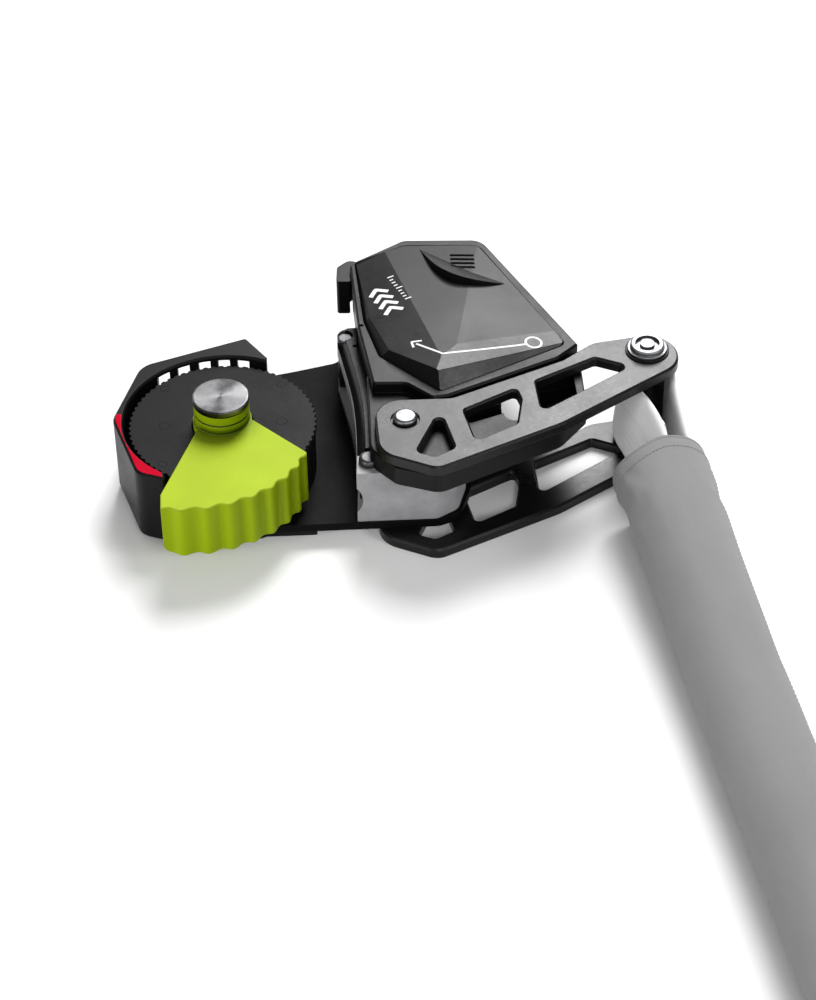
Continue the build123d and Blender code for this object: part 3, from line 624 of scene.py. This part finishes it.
def make_marks():
    """Plain pictograms: chevrons up the rope, a ruler of ticks, a strap symbol and grip bars; also painted
    shade lines in the cover seam and the rim slit.
    """
    up_rope = Vector((-0.37, 0.93))
    aside = Vector((up_rope.y, -up_rope.x))
    chevrons = []
    for k in range(4):
        tip = Vector((43.6, 43.4)) - up_rope * 3.4 * k
        foot = tip - up_rope * 2.6
        chevrons.append([foot - aside * 2.7, tip, foot + aside * 2.7])
    inked("mark_chevrons", "cover_panel", chevrons, 1.3, INK)
    ticks = []
    first_tick, last_tick = Vector((47.1, 48.6)), Vector((51.6, 37.0))
    for k in range(9):
        root = first_tick + (last_tick - first_tick) * k / 8
        ticks.append([root, root + aside * (1.9 if k % 4 == 0 else 1.1)])
    inked("mark_ticks", "cover_panel", ticks, 0.45, INK)
    line = [[(53.6, 14.9), (57.0, 11.9), (60.5, 8.8), (71.0, 11.4), (81.7, 14.2), (83.7, 14.9)],
            [(55.2, 16.0), (52.4, 16.0), (52.8, 13.3)], circle(85.9, 15.8, 2.2)]
    inked("mark_line", "cover_panel", line, 0.62, INK, step=0.3)
    # painted shade: near-black lines along the gap between the housing rim and the cover, and in the rim's slit
    seam = rounded_path([(43.2, 14.2, 3.0), (39.6, 30.0, 3.0), (38.0, 57.6, 1.5), (52.4, 65.2, 3.0),
                         (73.8, 64.0, 3.5), (94.8, 16.2, 2.0), (59.0, -2.4, 2.0)])
    inked("cover_seam", "housing_shell cover_panel", [seam], 0.42, GAP_SHADE_LINE)
    inked("rim_slit", "housing_shell", [[(36.4, 28.3), (39.6, 28.3)]], 0.9, GAP_SHADE_LINE)
    bars = [[(65.4, 52.6 + 2.1 * k), (72.2, 52.0 + 2.1 * k)] for k in range(4)]
    inked("mark_grip", "thumb_pad cover_panel", bars, 1.1, DARK_INK)


def stitch_row(name, spots, long, thick):
    """Row of raised stitches; spots are (place, direction, outward) in millimetres."""
    points, faces = [], []
    for place, ahead, outward in spots:
        ahead, outward = ahead.normalized(), outward.normalized()
        aside = ahead.cross(outward)
        base = len(points)
        for end, lift in ((-1, 0.0), (-0.6, 0.3), (0.6, 0.3), (1, 0.0)):
            middle = place + ahead * end * long / 2 + outward * lift * thick
            for turn in range(6):
                angle = turn * math.pi / 3
                size = thick / 2 * (1.0 if abs(end) < 1 else 0.35)
                points.append((middle + (aside * math.cos(angle) + outward * math.sin(angle)) * size) * MM)
        for row in range(3):
            a, b = base + row * 6, base + row * 6 + 6
            faces += [(a + k, a + (k + 1) % 6, b + (k + 1) % 6, b + k) for k in range(6)]
        faces += [tuple(base + k for k in range(5, -1, -1)), tuple(base + 18 + k for k in range(6))]
    mesh_object(name, points, faces, THREAD.material, "absorber")


def sleeve_spot(tree, distance, angle):
    """Place and outward direction on the sleeve at an angle round its axis."""
    outward = ACROSS * math.cos(angle) + Vector((0, 0, math.sin(angle)))
    axis = on_sleeve(distance, 0.0, sleeve_shape(max(distance, 0.0))[2])
    hit, normal = tree.ray_cast((axis + outward * 40.0) * MM, -outward)[:2]
    return (hit / MM, normal) if hit else (None, None)


def make_sleeve_seams(sleeve):
    """Stitches below the hem and down both sides."""
    tree = surface_of(sleeve)
    hem = []
    for k in range(78):
        angle = 2 * math.pi * k / 78
        place, normal = sleeve_spot(tree, 4.6 + mouth_cut(angle), angle)
        if place:
            hem.append((place, normal.cross(DOWN), normal))
    stitch_row("hem_stitches", hem, long=0.75, thick=0.32)
    for name, angle in (("side_seam_right", math.radians(14)), ("side_seam_left", math.radians(222))):
        run = []
        for k in range(118):
            place, normal = sleeve_spot(tree, 7.0 + 1.55 * k, angle)
            if place:
                run.append((place, DOWN, normal))
        stitch_row(name, run, long=1.1, thick=0.3)


def make_rolled_hem(sleeve):
    """Folded edge round the sleeve's mouth."""
    tree = surface_of(sleeve)
    ring = []
    for k in range(72):
        angle = 2 * math.pi * k / 72
        place, normal = sleeve_spot(tree, 0.9 + mouth_cut(angle), angle)
        ring.append((place - DOWN * 0.5, normal))
    points, faces, cloth, sides = [], [], [], 10
    for k, (place, normal) in enumerate(ring):
        for turn in range(sides):
            angle = 2 * math.pi * turn / sides
            points.append((place + (normal * math.cos(angle) * 0.14 + DOWN * math.sin(angle) * 0.5)) * MM)
            cloth.append((angle * 0.8 * MM, k * 1.1 * MM))
    for k in range(len(ring)):
        a, b = k * sides, (k + 1) % len(ring) * sides
        faces += [(a + t, a + (t + 1) % sides, b + (t + 1) % sides, b + t) for t in range(sides)]
    hem = mesh_object("sleeve_hem", points, faces, LOOKS["sleeve_grey"].material, "absorber", cloth)


def make_eye_tacks():
    """Zigzag bar tacks that close the eye's throat."""
    for name, side in (("bar_tack_left", -1), ("bar_tack_right", 1)):
        spots = []
        for row in range(5):
            slope = DOWN * 0.5 + Vector((0, 0, 1.0 if row % 2 else -1.0))
            for k in range(10):
                height = 3.2 + 2.05 * k + 1.0 * (row % 2)
                place = on_sleeve(SLEEVE_LENGTH + 0.2 + row * 1.2, side * 2.75, height)
                spots.append((place, slope, ACROSS * side))
        stitch_row(name, spots, long=1.9, thick=0.4)


make_marks()
make_rolled_hem(SLEEVE)
make_sleeve_seams(SLEEVE)
make_eye_tacks()


# ------------------------------------------------------------ floor and light
LIGHT_TARGET = (0.06, 0.0, 0.02)
FLOOR_SIZE, FLOOR_GAP = 6.0, 0.0002
SKY_STRENGTH = 0.18


def make_floor():
    """Pale floor just below the device."""
    bpy.ops.mesh.primitive_plane_add(size=FLOOR_SIZE, location=(0.05, 0.0, CAD_BOX[0][2] - FLOOR_GAP))
    floor = bpy.context.object
    floor.name = "floor"
    look = Look("floor", Roughness=0.9, Specular_IOR_Level=0.1)
    look.set("Base Color", look.mix(look.noise(3.0), rgb(240, 240, 240), rgb(244, 244, 244)))
    floor.data.materials.append(look.material)


def area_light(name, size, power, place, leave_out=()):
    """Soft box aimed at the device, in metres and watts; the nodes in leave_out don't take its light."""
    data = bpy.data.lights.new(name, "AREA")
    data.shape, data.size, data.size_y, data.energy = "RECTANGLE", size[0], size[1], power
    light = bpy.data.objects.new(name, data)
    SCENE.collection.objects.link(light)
    light.location = place
    light.rotation_euler = (Vector(LIGHT_TARGET) - Vector(place)).to_track_quat("-Z", "Y").to_euler()
    if leave_out:
        unlit = bpy.data.collections.new(name + "_leaves_out")
        for node in leave_out:
            unlit.objects.link(NODES[node])
        for entry in unlit.collection_objects:
            entry.light_linking.link_state = "EXCLUDE"
        light.light_linking.receiver_collection = unlit


def make_sky():
    """Even white light from all round."""
    world = bpy.data.worlds.new("studio")
    world.use_nodes = True
    sky = world.node_tree.nodes["Background"].inputs
    sky["Color"].default_value = (1.0, 1.0, 1.0, 1.0)
    sky["Strength"].default_value = SKY_STRENGTH
    SCENE.world = world


make_floor()
area_light("overhead", (0.5, 0.8), 22.0, (0.27, 0.79, 0.92))
area_light("left_front", (0.30, 0.6), 5.0, (-0.80, -0.75, 0.40), leave_out=("housing_shell", "cover_panel"))
area_light("front", (0.5, 0.4), 5.0, (0.25, -1.0, 0.75), leave_out=("locking_cam",))
area_light("right_front", (0.25, 0.25), 5.0, (0.93, -0.68, 0.50), leave_out=("locking_cam",))
make_sky()
SCENE.view_settings.view_transform = "Standard"
